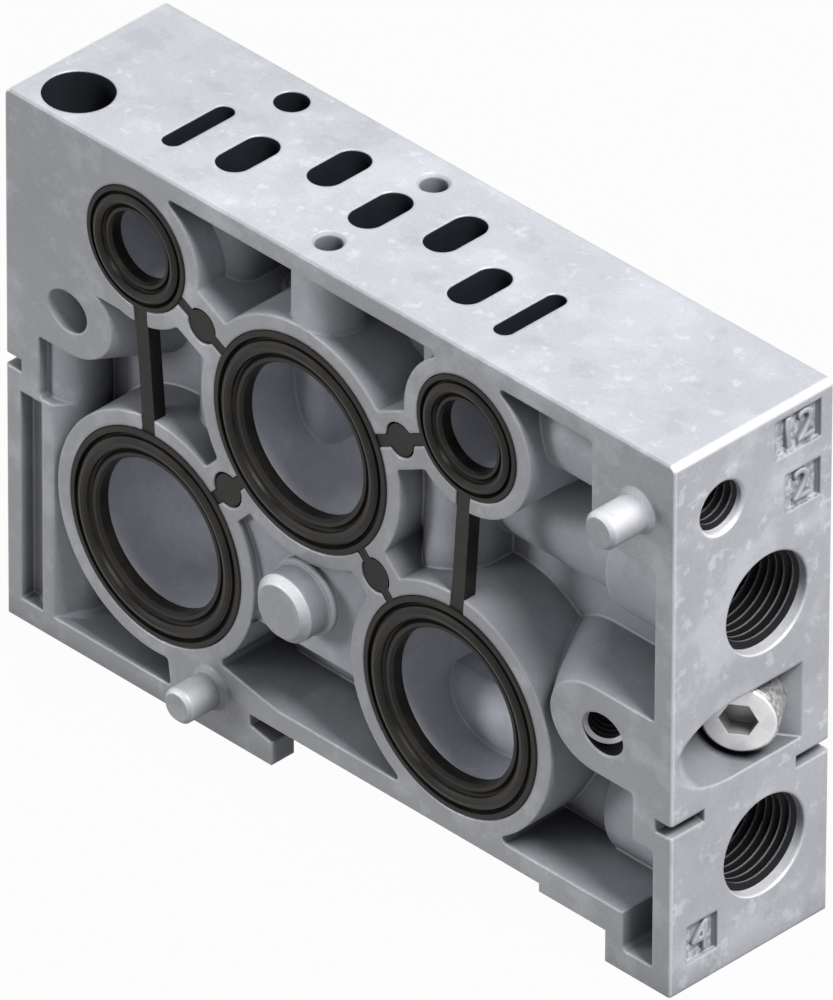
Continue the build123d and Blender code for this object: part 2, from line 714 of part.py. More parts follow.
def gasket():
    """One moulded rubber part: five seal rings joined by links, four of them with a bead."""
    rings = []
    for ring, (x, z) in RING_CENTRE.items():
        section = Plane(origin=(x, 0, z), x_dir=(1, 0, 0), z_dir=(0, 0, -1)) * seal_section(ring)
        rings.append(revolve(section, Axis((x, 0, z), (0, 1, 0)), 360))
    links = [strip(*link_ends(link), LINK_WIDTH) for link in BEAD_LINKS]
    links += [disc(bead_centre(link), BEAD_R) for link in BEAD_LINKS]
    links += [strip(*link_ends(link), OPEN_LINK_WIDTH) for link in OPEN_LINKS]
    inside = [disc(centre, seal_radius(ring) - LINK_WIDTH / 2) for ring, centre in RING_CENTRE.items()]
    return joined(rings) + front(joined(links) - joined(inside), LINK_DROP, GROOVE_DEPTH)


def clamp_screw(mouth, side):
    """Socket head cap screw, seated in its pocket, with its end out of the back face."""
    head = Cylinder(HEAD_R, HEAD_HEIGHT, align=(Align.CENTER, Align.CENTER, Align.MIN))
    head = chamfer(head.faces().sort_by(Axis.Z)[-1].edges(), HEAD_CHAMFER)
    hexagon = Rot(0, 0, 90) * RegularPolygon(HEX_ACROSS_FLATS / 2, 6, major_radius=False)
    head -= extrude(Plane.XY.offset(HEAD_HEIGHT) * hexagon, amount=-HEX_DEPTH)
    shank = Cylinder(CLAMP_THREAD_R, SCREW_LENGTH, align=(Align.CENTER, Align.CENTER, Align.MAX))
    shank = chamfer(shank.faces().sort_by(Axis.Z)[0].edges(), SCREW_POINT)
    return seat_plane(mouth, side) * (head + shank)


def finish(shape, name):
    """Moves a part to the row's frame and writes it."""
    os.makedirs("parts", exist_ok=True)
    placed = Pos(*(-value for value in RAIL_SEAT)) * shape
    placed.label = name
    export_step(placed, f"parts/{name}.step")


def main():
    finish(casting(), "subplate_body")
    finish(gasket(), "seal_gasket")
    for (mouth, side), name in zip(clamps(), ("clamp_screw_right", "clamp_screw_left")):
        finish(clamp_screw(mouth, side), name)


main()
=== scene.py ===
"""Finishes a packed valve subplate: cast and machined aluminium, rubber, steel and threads."""

from collections import namedtuple
from math import ceil, cos, pi, radians, sin, tau

import bmesh
import bpy
from mathutils import Euler, Matrix, Vector


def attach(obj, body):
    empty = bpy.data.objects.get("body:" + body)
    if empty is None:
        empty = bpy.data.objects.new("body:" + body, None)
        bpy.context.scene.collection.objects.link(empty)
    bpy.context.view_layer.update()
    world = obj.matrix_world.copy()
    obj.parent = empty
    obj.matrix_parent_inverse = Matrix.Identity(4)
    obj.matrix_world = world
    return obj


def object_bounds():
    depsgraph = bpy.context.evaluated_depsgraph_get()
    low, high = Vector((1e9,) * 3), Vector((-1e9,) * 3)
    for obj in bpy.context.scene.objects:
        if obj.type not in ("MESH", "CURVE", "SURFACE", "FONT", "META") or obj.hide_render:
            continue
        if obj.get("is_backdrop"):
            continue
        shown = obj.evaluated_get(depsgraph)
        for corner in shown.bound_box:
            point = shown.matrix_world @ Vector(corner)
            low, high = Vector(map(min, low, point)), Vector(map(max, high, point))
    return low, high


bl_info = {
    "name": "Valve subplate finish",
    "version": (1, 0, 0),
    "blender": (4, 5, 0),
    "location": "View3D > Sidebar > Subplate",
    "description": "Gives a packed valve subplate its metal, rubber and threads, and sets its stage",
    "category": "Object",
}

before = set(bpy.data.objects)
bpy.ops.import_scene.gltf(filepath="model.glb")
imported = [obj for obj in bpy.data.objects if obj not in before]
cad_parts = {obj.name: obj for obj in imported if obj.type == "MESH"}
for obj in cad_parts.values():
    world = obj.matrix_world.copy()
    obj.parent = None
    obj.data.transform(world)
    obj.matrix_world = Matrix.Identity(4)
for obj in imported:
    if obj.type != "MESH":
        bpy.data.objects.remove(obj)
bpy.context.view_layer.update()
MM = 0.001

# The body's faces, in millimetres from the seat on the rail
LEFT_X = -47.35
RIGHT_X = 33.15
FRONT_Y = -9.5
BACK_Y = 9.5
TOP_Z = 50.45
MIDDLE_X = (LEFT_X + RIGHT_X) / 2
HALF_LENGTH = (RIGHT_X - LEFT_X) / 2
# How far off a face a place may lie and still take that face's finish
FACE_TOLERANCE = 0.03

# Rounded upper corners of both ends, and the shares of the rounding where their painted highlight starts
# and is full
END_ROUND = 0.8
ROUND_SHARES = (0.85, 0.6)
# Rounded edges of both ends on the front, and how strong their painted highlight is
EDGE_ROUND = 0.3
EDGE_BRIGHTNESS = 0.55

# Threads: mouth, direction, wall radius, depth, pitch, crest radius, and the blank length at the mouth
Thread = namedtuple("Thread", "mouth inward wall depth pitch crest start")
CLAMP_LEAN = radians(35)
RIGHT_CLAMP_IN = (-sin(CLAMP_LEAN), cos(CLAMP_LEAN), 0)
LEFT_CLAMP_IN = (sin(CLAMP_LEAN), cos(CLAMP_LEAN), 0)
PORT_THREADS = {
    "port_2": Thread((RIGHT_X, 1.8, 31.25), (-1, 0, 0), 4.864, 11.8, 0.907, 4.283, 0.7),
    "port_4": Thread((RIGHT_X, 1.85, 6.25), (-1, 0, 0), 4.864, 11.8, 0.907, 4.283, 0.7),
    "pilot_port": Thread((RIGHT_X, -3.75, 43.65), (-1, 0, 0), 2.5, 7.8, 0.8, 2.07, 0.5),
}
CLAMP_THREADS = {
    "clamp_right": Thread((24.95, FRONT_Y, 19.2), RIGHT_CLAMP_IN, 2.0, 10.3, 0.7, 1.62, 1.1),
    "clamp_left": Thread((-39.75, FRONT_Y, 30.95), LEFT_CLAMP_IN, 2.0, 10.3, 0.7, 1.62, 3.2),
}
# Threads on the clamp screws' ends behind the back face, which stand out from the wall
SCREW_THREADS = {
    "clamp_screw_right": Thread((24.146, 10.647, 19.2), RIGHT_CLAMP_IN, 2.0, 6.5, 0.7, 2.1, 0.0),
    "clamp_screw_left": Thread((-38.946, 10.647, 30.95), LEFT_CLAMP_IN, 2.0, 6.5, 0.7, 2.1, 0.0),
}
# Turns at the mouth of a clamp hole that take a lighter colour, as painted light where the light falls in
LIT_TURNS = 1.0
# How deep a ridge is rooted in its wall
RIDGE_ROOT = 0.04
# A ridge ends at a small share of its height, and gains this many times its height in a turn
RIDGE_END_SHARE = 0.04
RIDGE_GROWTH = 3

# Seats of the clamp screws' heads: middle and direction out
HEAD_SEATS = (
    ((29.194, 3.438, 19.2), (sin(CLAMP_LEAN), -cos(CLAMP_LEAN), 0)),
    ((-43.994, 3.438, 30.95), (-sin(CLAMP_LEAN), -cos(CLAMP_LEAN), 0)),
)
HEAD_R = 3.5
KNURL_HALF_DEPTH = 0.2
# The painted shadow in the well and the painted shade in the pocket round each head: radius, reach from
# the seat, soft layer
HEAD_WELL = (3.95, 4.6, 0.4)
HEAD_POCKET = (6.0, 10.5, 1.5)
POCKET_END_MARGIN = 0.1
# Masks in the form of a rod: soft layer, gap at the start, fade at the far end
ROD_SOFT = 0.01
ROD_GAP = 0.02
ROD_FADE = 0.8
# A reach that is longer than any hole
FAR = 20.0

# Round passages through the body: (x, z) and radius
PASSAGES = {
    (-29.0, 12.75): 7.4,
    (-11.4, 31.2): 7.4,
    (6.75, 12.8): 7.4,
    (-31.3, 41.45): 3.45,
    (8.55, 41.45): 3.45,
}

# Holes in the valve face, painted dark as shade: (x, y) and half sizes
VALVE_FACE_HOLES = {
    (-31.4, -1.95): (1.0, 4.0),
    (8.5, -1.95): (1.0, 4.0),
    (-25.41, -1.95): (1.7, 3.25),
    (-18.43, 2.1): (1.7, 3.25),
    (-11.45, 0.1): (1.7, 3.25),
    (-4.47, 2.1): (1.7, 3.25),
    (2.51, -1.95): (1.7, 3.25),
    (-42.25, -5.58): (3.25, 3.25),
    (-28.45, 6.3): (1.6, 1.6),
}
HOLE_MARGIN = 0.05
HOLE_VIEW_DEPTH = 6.0
# Depths at which the painted shade in these holes starts and is full
HOLE_FADE = (0.04, 0.12)
# The painted shade in the right clamp's hole: how far outside its mouth it starts, and its gap behind the
# front
CLAMP_HOLE_LEAD = 2.5
CLAMP_HOLE_GAP = 0.15

# Machined mouths of the ports, whose upper sides take a painted highlight: width of the ring, and the
# depths that it runs from and to
MOUTH_RING = 0.45
MOUTH_DEPTHS = (0.01, 1.2)

# Port numbers in their sunk windows on the right end
Window = namedtuple("Window", "text y z half_width")
WINDOWS = {
    "port_number_12": Window("12", 5.25, 47.3, 2.75),
    "port_number_2": Window("2", 5.9, 41.35, 2.1),
    "port_number_4": Window("4", -5.65, 0.35, 1.85),
}
WINDOW_DEPTH = 0.45
WINDOW_HALF_HEIGHT = 1.95
# Depths that a window's finish runs from and to
WINDOW_DEPTHS = (0.02, WINDOW_DEPTH + 0.1)
# Half sizes of the painted shadow strip along a window's side towards the back
JAMB_HALF_SIZES = (0.3, WINDOW_HALF_HEIGHT - 0.05)
# Height of a figure as a share of its font's size
FIGURE_SHARE = 0.72
# A number's edges in metres: how much they are rounded and drawn in, and how deep the number is rooted
NUMBER_ROUND = 0.00008
NUMBER_INSET = 0.00004
NUMBER_ROOT = 0.00013

# Pins on the front: the collar under each, the heights where a thin one's painted highlight starts and is
# full, and the strength of the pins' painted highlight
PIN_COLLAR = 0.4
THIN_PIN_SHINE = (0.6, 1.8)
PIN_BRIGHTNESS = 0.75
# The stout pin in the middle: (x, z), a circle round it, and the height of its barrel, which is painted in
# shade
STOUT_PIN = (-11.05, 15.3)
STOUT_PIN_CIRCLE = 3.6
STOUT_PIN_BARREL = 2.2

# A normal's part along y on a pin's end, and its parts along z where a surface's painted highlight starts
# and is full
FACING_FRONT = -0.9
FACING_UP = (0.1, 0.6)
# How alike a normal and its rounded form are where an edge starts and where it is full
EDGE_LIKENESS = (0.985, 0.80)
# Rays for each rounded edge and each look for near walls
RAYS = 6

# Sizes of fine patterns, in metres
CAST_GRAIN = 0.00035
BURRS = 0.0005
RUBBER_BLOOM = 0.004
RUBBER_GRAIN = 0.00025
STEEL_STAIN = 0.002
STEEL_GRAIN = 0.0002
KNURLING = 0.0005
TOOL_MARKS = 0.0002
PAPER_CLOUD = 0.02

# Tints of the wear, of the edges that are partly wear and partly a painted highlight, of the painted
# highlight on fillets, and of the painted shade in the recesses and the windows' jambs
WHITE = (1.0, 1.0, 1.0)
PATCH_TINT = (0.78, 0.80, 0.87)
FLECK_TINT = (0.90, 0.93, 1.0)
DULL_TINT = (0.36, 0.37, 0.41)
EDGE_WEAR_AND_HIGHLIGHT_TINT = (0.70, 0.71, 0.74)
FILLET_HIGHLIGHT_TINT = (0.75, 0.76, 0.80)
RECESS_SHADE_TINT = (0.035, 0.038, 0.048)
JAMB_SHADE_TINT = (0.5, 0.5, 0.52)
STAIN_TINT = (0.72, 0.73, 0.74)
PAPER_TINT = (0.3, 0.3, 0.3)

# Lights and the camera at the photograph's place, in metres and degrees
KEY_PLACE = (0.53, -0.02, 0.85)
FRONT_PLACE = (-0.7, -0.95, 0.25)
FRONT_TINT = (0.97, 0.98, 1.0)
CAMERA_PLACE = (1.38792, -1.39204, 1.38768)
CAMERA_TURN = (55.2947, -0.1883, 45.1879)
CAMERA_LENS = 1013.7
CAMERA_REACH = 20.0


class CastingLook(bpy.types.PropertyGroup):
    cast_colour: bpy.props.FloatVectorProperty(
        name="Cast skin", description="Colour of the as-cast aluminium", subtype="COLOR",
        size=3, min=0, max=1, default=(0.47, 0.48, 0.515),
    )
    machined_colour: bpy.props.FloatVectorProperty(
        name="Back and end", description="Colour of the back and the right end", subtype="COLOR",
        size=3, min=0, max=1, default=(0.50, 0.51, 0.545),
    )
    land_colour: bpy.props.FloatVectorProperty(
        name="Front lands", description="Colour of the ground lands that the gasket lies in",
        subtype="COLOR", size=3, min=0, max=1, default=(0.36, 0.365, 0.38),
    )
    bore_colour: bpy.props.FloatVectorProperty(
        name="Passages", description="Colour inside the round passages", subtype="COLOR",
        size=3, min=0, max=1, default=(0.50, 0.51, 0.56),
    )
    # Colour of the painted highlights on the rounded rims and on the upper sides of the pins and the port
    # mouths
    highlight_colour: bpy.props.FloatVectorProperty(
        name="Bright edges", description="Colour of the pins, the port mouths and the outer edges",
        subtype="COLOR", size=3, min=0, max=1, default=(0.90, 0.91, 0.94),
    )
    top_colour: bpy.props.FloatVectorProperty(
        name="Valve face", description="Colour of the bright valve face", subtype="COLOR",
        size=3, min=0, max=1, default=(0.60, 0.615, 0.66),
    )
    patch_size: bpy.props.FloatProperty(
        name="Patch size", description="Size of the pale blotches on the casting", subtype="DISTANCE",
        min=0.0005, max=0.05, default=0.006,
    )
    edge_width: bpy.props.FloatProperty(
        name="Edge break", description="Width of the bright rounding on every edge", subtype="DISTANCE",
        min=0.0, max=0.002, default=0.0004,
    )
    # Reach of the painted shade that darkens the skin between near walls
    recess_reach: bpy.props.FloatProperty(
        name="Recess reach", description="How near walls must be for the skin to stay dark",
        subtype="DISTANCE", min=0.0005, max=0.02, default=0.006,
    )


class GasketLook(bpy.types.PropertyGroup):
    colour: bpy.props.FloatVectorProperty(
        name="Rubber", description="Colour of the moulded gasket", subtype="COLOR",
        size=3, min=0, max=1, default=(0.011, 0.0095, 0.008),
    )
    bloom_colour: bpy.props.FloatVectorProperty(
        name="Bloom", description="Colour of the dry bloom on the rubber", subtype="COLOR",
        size=3, min=0, max=1, default=(0.03, 0.026, 0.021),
    )


class SteelLook(bpy.types.PropertyGroup):
    colour: bpy.props.FloatVectorProperty(
        name="Plated steel", description="Colour of the clamp screws", subtype="COLOR",
        size=3, min=0, max=1, default=(0.90, 0.90, 0.90),
    )


class ThreadSizes(bpy.types.PropertyGroup):
    crest_share: bpy.props.FloatProperty(
        name="Crest", description="Flat at a thread's crest, as a share of its pitch", subtype="FACTOR",
        min=0.02, max=0.4, default=0.19,
    )
    root_share: bpy.props.FloatProperty(
        name="Root", description="Width of a thread where it meets the wall, as a share of its pitch",
        subtype="FACTOR", min=0.5, max=0.98, default=0.9,
    )
    steps: bpy.props.IntProperty(
        name="Steps per turn", description="Facets in one turn of a thread", min=12, max=128, default=56,
    )


class NumberSizes(bpy.types.PropertyGroup):
    height: bpy.props.FloatProperty(
        name="Height", description="Height of a cast port number, before its edges are rounded",
        subtype="DISTANCE", min=0.001, max=0.01, default=0.0031,
    )
    relief: bpy.props.FloatProperty(
        name="Relief", description="How far a number stands off the floor of its window",
        subtype="DISTANCE", min=0.0001, max=0.00045, default=0.00043,
    )


class StageLook(bpy.types.PropertyGroup):
    floor_colour: bpy.props.FloatVectorProperty(
        name="Floor", description="Colour of the floor", subtype="COLOR", size=3, min=0, max=1,
        default=(0.2, 0.2, 0.205),
    )
    floor_size: bpy.props.FloatProperty(
        name="Floor size", description="Length of each side of the floor", subtype="DISTANCE",
        min=1, max=20, default=12,
    )
    floor_white: bpy.props.FloatProperty(
        name="Floor white", description="How white the camera sees the floor, where 1 hides every shadow",
        subtype="FACTOR", min=0, max=1, default=0.97,
    )
    sky_strength: bpy.props.FloatProperty(
        name="Sky", description="Strength of the even light from all round", min=0, max=2, default=0.2,
    )
    light_size: bpy.props.FloatProperty(
        name="Light size", description="Diameter of both lights", subtype="DISTANCE",
        min=0.05, max=2, default=0.35,
    )
    key_power: bpy.props.FloatProperty(
        name="Key light", description="Power of the light above the right end", min=0, max=100,
        default=10.5, unit="POWER",
    )
    front_power: bpy.props.FloatProperty(
        name="Front light", description="Power of the light to the left before the gasket face", min=0,
        max=100, default=4.5, unit="POWER",
    )


def set_inputs(tree, node, inputs):
    """Links a node's inputs to sockets, or sets their values."""
    for key, value in inputs.items():
        if isinstance(value, bpy.types.NodeSocket):
            tree.links.new(value, node.inputs[key])
        else:
            node.inputs[key].default_value = value


def add_node(tree, kind, inputs=None, **settings):
    """A shader node with its settings and its inputs."""
    node = tree.nodes.new(kind)
    for key, value in settings.items():
        setattr(node, key, value)
    set_inputs(tree, node, inputs or {})
    return node


def calc(tree, operation, *values):
    """The result of a Math node on sockets or numbers."""
    return add_node(tree, "ShaderNodeMath", dict(enumerate(values)), operation=operation).outputs[0]


def vector_calc(tree, operation, output, first, second):
    """One output of a Vector Math node on two sockets or vectors."""
    node = add_node(tree, "ShaderNodeVectorMath", {0: first, 1: second}, operation=operation)
    return node.outputs[output]


def spread(tree, value, low, high, to_low=0.0, to_high=1.0):
    """A value moved from one range to another and held inside it."""
    inputs = {"Value": value, "From Min": low, "From Max": high, "To Min": to_low, "To Max": to_high}
    return add_node(tree, "ShaderNodeMapRange", inputs, clamp=True).outputs["Result"]


def fade(tree, value, start, full, most=1.0):
    """Rises from 0 to the most between two places in millimetres."""
    return spread(tree, value, start * MM, full * MM, 0.0, most)


def noise(tree, place, size, detail=4.0, roughness=0.55):
    """Noise whose blotches are about size metres across."""
    inputs = {"Vector": place, "Scale": 1 / size, "Detail": detail, "Roughness": roughness}
    return add_node(tree, "ShaderNodeTexNoise", inputs).outputs["Fac"]


def blend(tree, amount, first, second, kind="MIX"):
    """Two colours mixed by an amount."""
    first, second = (
        value if isinstance(value, bpy.types.NodeSocket) else (*value, 1.0) for value in (first, second)
    )
    inputs = {0: amount, 6: first, 7: second}
    return add_node(tree, "ShaderNodeMix", inputs, data_type="RGBA", blend_type=kind).outputs[2]


def multiplied(tree, first, second):
    """Two colours multiplied."""
    return blend(tree, 1.0, first, second, kind="MULTIPLY")


def bumped(tree, height, strength, depth, normal=None):
    """A normal with a relief some metres deep, on top of another normal if one is given."""
    inputs = {"Strength": strength, "Distance": depth, "Height": height}
    if normal is not None:
        inputs["Normal"] = normal
    return add_node(tree, "ShaderNodeBump", inputs).outputs[0]


def rounded_normal(tree, width):
    """The normal, rounded within a width of each edge."""
    return add_node(tree, "ShaderNodeBevel", {"Radius": width}, samples=RAYS).outputs[0]


def openness(tree, reach, only_local=False):
    """How open a place is: 0 with walls all round within reach, 1 with none."""
    inputs = {"Distance": reach}
    node = add_node(tree, "ShaderNodeAmbientOcclusion", inputs, samples=RAYS, only_local=only_local)
    return node.outputs["AO"]


def new_material(name):
    """A node material with just its shader and output."""
    material = bpy.data.materials.new(name)
    material.use_nodes = True
    tree = material.node_tree
    tree.nodes.clear()
    shader = add_node(tree, "ShaderNodeBsdfPrincipled")
    add_node(tree, "ShaderNodeOutputMaterial", {"Surface": shader.outputs[0]})
    return material, tree, shader


def object_place(tree):
    """The place on the object, in metres."""
    return add_node(tree, "ShaderNodeTexCoord").outputs["Object"]


def give(obj, *materials):
    """Puts the materials in the object's slots, in order."""
    while len(obj.data.materials) < len(materials):
        obj.data.materials.append(None)
    for slot, material in zip(obj.material_slots, materials):
        slot.material = material


def above(tree, value, limit):
    """1 over a limit in millimetres."""
    return calc(tree, "GREATER_THAN", value, limit * MM)


def below(tree, value, limit):
    """1 under a limit in millimetres."""
    return calc(tree, "LESS_THAN", value, limit * MM)


def both(tree, first, *others):
    """1 where every mask is 1."""
    for other in others:
        first = calc(tree, "MULTIPLY", first, other)
    return first


def either(tree, first, *others):
    """1 where any mask is 1."""
    for other in others:
        first = calc(tree, "MAXIMUM", first, other)
    return first


def distance_from(tree, value, middle):
    """How far a coordinate lies from a middle in millimetres."""
    return calc(tree, "ABSOLUTE", calc(tree, "SUBTRACT", value, middle * MM))


def within_circle(tree, first, second, centre, radius):
    """1 inside a circle, on two of the three coordinates."""
    place = add_node(tree, "ShaderNodeCombineXYZ", {0: first, 1: second}).outputs[0]
    middle = (centre[0] * MM, centre[1] * MM, 0)
    return below(tree, vector_calc(tree, "DISTANCE", "Value", place, middle), radius)


def within_box(tree, first, second, centre, half_sizes):
    """1 inside a rectangle, on two of the three coordinates."""
    masks = [
        below(tree, distance_from(tree, value, middle), half)
        for value, middle, half in zip((first, second), centre, half_sizes)
    ]
    return both(tree, *masks)


def within_rod(tree, place, start, direction, radius, reach, soft=ROD_SOFT):
    """1 inside a round rod of a given reach from its start, with a soft outer layer."""
    offset = vector_calc(tree, "SUBTRACT", "Vector", place, [value * MM for value in start])
    along = vector_calc(tree, "DOT_PRODUCT", "Value", offset, direction)
    inputs = {0: direction, "Scale": along}
    on_line = add_node(tree, "ShaderNodeVectorMath", inputs, operation="SCALE").outputs[0]
    from_line = vector_calc(tree, "DISTANCE", "Value", offset, on_line)
    near = fade(tree, from_line, radius + soft, radius)
    return both(tree, near, above(tree, along, ROD_GAP), fade(tree, along, reach, reach - ROD_FADE))


def round_screws(tree, place, radius, reach, soft=ROD_SOFT):
    """1 inside a rod round each clamp screw, from the seat of its head outwards."""
    rods = [within_rod(tree, place, *seat, radius, reach, soft) for seat in HEAD_SEATS]
    return either(tree, *rods)


def under_right_end(tree, x, depths):
    """1 between two depths under the right end."""
    return both(tree, below(tree, x, RIGHT_X - depths[0]), above(tree, x, RIGHT_X - depths[1]))


def pin_regions(tree, x, y, z, forwards, upwards):
    """The ends of the pins, their upper sides that take a painted highlight, and the barrel of the stout
    pin that takes painted shade.
    """
    pins = below(tree, y, FRONT_Y - PIN_COLLAR - FACE_TOLERANCE)
    ends = both(tree, pins, calc(tree, "LESS_THAN", forwards, FACING_FRONT))
    stout = within_circle(tree, x, z, STOUT_PIN, STOUT_PIN_CIRCLE)
    thin = calc(tree, "SUBTRACT", 1.0, stout)
    start, full = THIN_PIN_SHINE
    thin_lit = both(tree, fade(tree, y, FRONT_Y - start, FRONT_Y - full), thin)
    stout_lit = both(tree, stout, below(tree, y, FRONT_Y - STOUT_PIN_BARREL))
    sides = both(tree, pins, either(tree, thin_lit, stout_lit), upwards)
    barrel = both(tree, stout, below(tree, y, FRONT_Y), above(tree, y, FRONT_Y - STOUT_PIN_BARREL))
    return ends, sides, barrel


def rim_region(tree, off_middle, y, z):
    """The rounded upper corners of both ends, and the ends' edges on the front, which take a painted
    highlight.
    """
    start, full = (share * END_ROUND for share in ROUND_SHARES)
    corners = both(
        tree,
        fade(tree, off_middle, HALF_LENGTH - start, HALF_LENGTH - full),
        fade(tree, z, TOP_Z - start, TOP_Z - full),
    )
    edges = both(
        tree,
        fade(tree, off_middle, HALF_LENGTH - EDGE_ROUND, HALF_LENGTH, EDGE_BRIGHTNESS),
        below(tree, y, FRONT_Y + EDGE_ROUND),
        above(tree, y, FRONT_Y - FACE_TOLERANCE),
    )
    return either(tree, corners, edges)


def passage_region(tree, x, y, z):
    """The inside of the round passages."""
    circles = [
        within_circle(tree, x, z, centre, radius + FACE_TOLERANCE) for centre, radius in PASSAGES.items()
    ]
    return both(tree, either(tree, *circles), above(tree, y, FRONT_Y + FACE_TOLERANCE))


def dark_holes(tree, place, x, y, z):
    """Where shade is painted dark: the holes in the valve face, the wells round the screws' heads and the
    right clamp's hole.
    """
    boxes = [
        within_box(tree, x, y, centre, [half + HOLE_MARGIN for half in half_sizes])
        for centre, half_sizes in VALVE_FACE_HOLES.items()
    ]
    start, full = HOLE_FADE
    slots = both(
        tree,
        either(tree, *boxes),
        above(tree, z, TOP_Z - HOLE_VIEW_DEPTH),
        fade(tree, z, TOP_Z - start, TOP_Z - full),
    )
    hole = CLAMP_THREADS["clamp_right"]
    outside = [value - CLAMP_HOLE_LEAD * step for value, step in zip(hole.mouth, hole.inward)]
    tapped = within_rod(tree, place, outside, hole.inward, hole.wall + FACE_TOLERANCE, FAR)
    tapped = both(tree, tapped, above(tree, y, FRONT_Y + CLAMP_HOLE_GAP))
    return either(tree, slots, round_screws(tree, place, *HEAD_WELL), tapped)


def mouth_region(tree, x, y, z):
    """The machined ring at the mouth of each port, whose upper side takes a painted highlight."""
    circles = [
        within_circle(tree, y, z, port.mouth[1:], port.wall + MOUTH_RING) for port in PORT_THREADS.values()
    ]
    return both(tree, either(tree, *circles), under_right_end(tree, x, MOUTH_DEPTHS))


def window_regions(tree, x, y, z):
    """The windows of the port numbers, and the painted shadow strip along each one's side towards the
    back.
    """
    windows = [
        within_box(tree, y, z, (window.y, window.z), (window.half_width, WINDOW_HALF_HEIGHT))
        for window in WINDOWS.values()
    ]
    jambs = [
        within_box(tree, y, z, (window.y + window.half_width, window.z), JAMB_HALF_SIZES)
        for window in WINDOWS.values()
    ]
    windows = both(tree, either(tree, *windows), under_right_end(tree, x, WINDOW_DEPTHS))
    return windows, both(tree, either(tree, *jambs), windows)


def casting_regions(tree, place, normal):
    """Masks of the places where the casting looks different from its as-cast skin, including the painted
    highlights and the painted shade.
    """
    x, y, z = add_node(tree, "ShaderNodeSeparateXYZ", {0: place}).outputs
    _, forwards, upright = add_node(tree, "ShaderNodeSeparateXYZ", {0: normal}).outputs
    upwards = spread(tree, upright, *FACING_UP)
    off_middle = distance_from(tree, x, MIDDLE_X)
    on_front = both(
        tree, below(tree, y, FRONT_Y + FACE_TOLERANCE), above(tree, y, FRONT_Y - FACE_TOLERANCE)
    )
    on_back = above(tree, y, BACK_Y - FACE_TOLERANCE)
    on_right = above(tree, x, RIGHT_X - FACE_TOLERANCE)
    pin_ends, pin_sides, barrel = pin_regions(tree, x, y, z, forwards, upwards)
    pin_sides = calc(tree, "MULTIPLY", pin_sides, PIN_BRIGHTNESS)
    rims = rim_region(tree, off_middle, y, z)
    mouths = mouth_region(tree, x, y, z)
    windows, jambs = window_regions(tree, x, y, z)
    # Painted shade in the pockets round the screws' heads
    pockets = round_screws(tree, place, *HEAD_POCKET)
    pockets = both(tree, pockets, below(tree, off_middle, HALF_LENGTH - POCKET_END_MARGIN))
    return {
        "top": above(tree, z, TOP_Z - FACE_TOLERANCE),
        "front": either(tree, on_front, pin_ends),
        "sides": either(tree, on_back, on_right, mouths, windows),
        # Painted highlights on the rims, the mouths' upper sides and the pins' upper sides
        "bright": either(tree, rims, both(tree, mouths, upwards), pin_sides),
        "passages": passage_region(tree, x, y, z),
        "holes": dark_holes(tree, place, x, y, z),
        "mouths": mouths,
        "windows": windows,
        "jambs": jambs,
        # Painted shade in the head pockets and on the stout pin's barrel
        "dim": either(tree, pockets, barrel),
    }


def region_colour(tree, look, at):
    """The clean colour of each region of the casting, with the painted highlight colour on the bright
    region.
    """
    colour = blend(tree, at["passages"], look.cast_colour, look.bore_colour)
    colour = blend(tree, at["sides"], colour, look.machined_colour)
    colour = blend(tree, at["top"], colour, look.top_colour)
    colour = blend(tree, at["bright"], colour, look.highlight_colour)
    return blend(tree, at["front"], colour, look.land_colour)


def weathered_and_edge_lit(tree, colour, look, at, place, patches, edge):
    """A colour with pale patches and flecks, dull spots, and pale edges that are partly wear and partly a
    painted highlight.
    """
    outer = either(tree, at["top"], at["sides"])
    flakes = noise(tree, place, 0.3 * look.patch_size, detail=4.0, roughness=0.6)
    pale = both(tree, spread(tree, patches, 0.51, 0.62), spread(tree, outer, 0, 1, 0.2, 0.38))
    flecks = both(tree, spread(tree, flakes, 0.585, 0.67), spread(tree, outer, 0, 1, 0.08, 0.36))
    dull = spread(tree, patches, 0.42, 0.36, 0.0, 0.22)
    colour = blend(tree, pale, colour, PATCH_TINT)
    colour = blend(tree, flecks, colour, FLECK_TINT)
    colour = blend(tree, dull, colour, DULL_TINT)
    return blend(tree, calc(tree, "MULTIPLY", edge, 0.5), colour, EDGE_WEAR_AND_HIGHLIGHT_TINT)


def speckled(tree, colour, look, at, place, grain):
    """A colour with clouds and a grain, and with rough floors and a painted shadow on the jambs in the
    windows.
    """
    cloud = noise(tree, place, 2.6 * look.patch_size, detail=3.0)
    tone = spread(tree, cloud, 0.3, 0.7, 0.91, 1.07)
    speck = spread(tree, grain, 0.3, 0.7, 0.94, 1.05)
    colour = multiplied(tree, colour, calc(tree, "MULTIPLY", tone, speck))
    burrs_and_jamb_shade = spread(tree, noise(tree, place, BURRS, detail=2.0), 0.42, 0.58, 0.75, 1.25)
    burrs_and_jamb_shade = blend(tree, at["windows"], WHITE, burrs_and_jamb_shade)
    burrs_and_jamb_shade = blend(tree, at["jambs"], burrs_and_jamb_shade, JAMB_SHADE_TINT)
    return multiplied(tree, colour, burrs_and_jamb_shade)


def recessed(tree, colour, look, at):
    """A colour with painted shade: darker between near walls, and more in the pockets and the holes."""
    light = either(
        tree,
        spread(tree, openness(tree, look.recess_reach), 0.0, 0.7, 0.1, 1.0),
        calc(tree, "MULTIPLY", at["passages"], 0.45),
        at["mouths"],
        calc(tree, "MULTIPLY", at["windows"], 0.8),
    )
    light = both(
        tree, light, spread(tree, at["dim"], 0, 1, 1.0, 0.65), spread(tree, at["holes"], 0, 1, 1.0, 0.03)
    )
    return multiplied(tree, colour, blend(tree, light, RECESS_SHADE_TINT, WHITE))


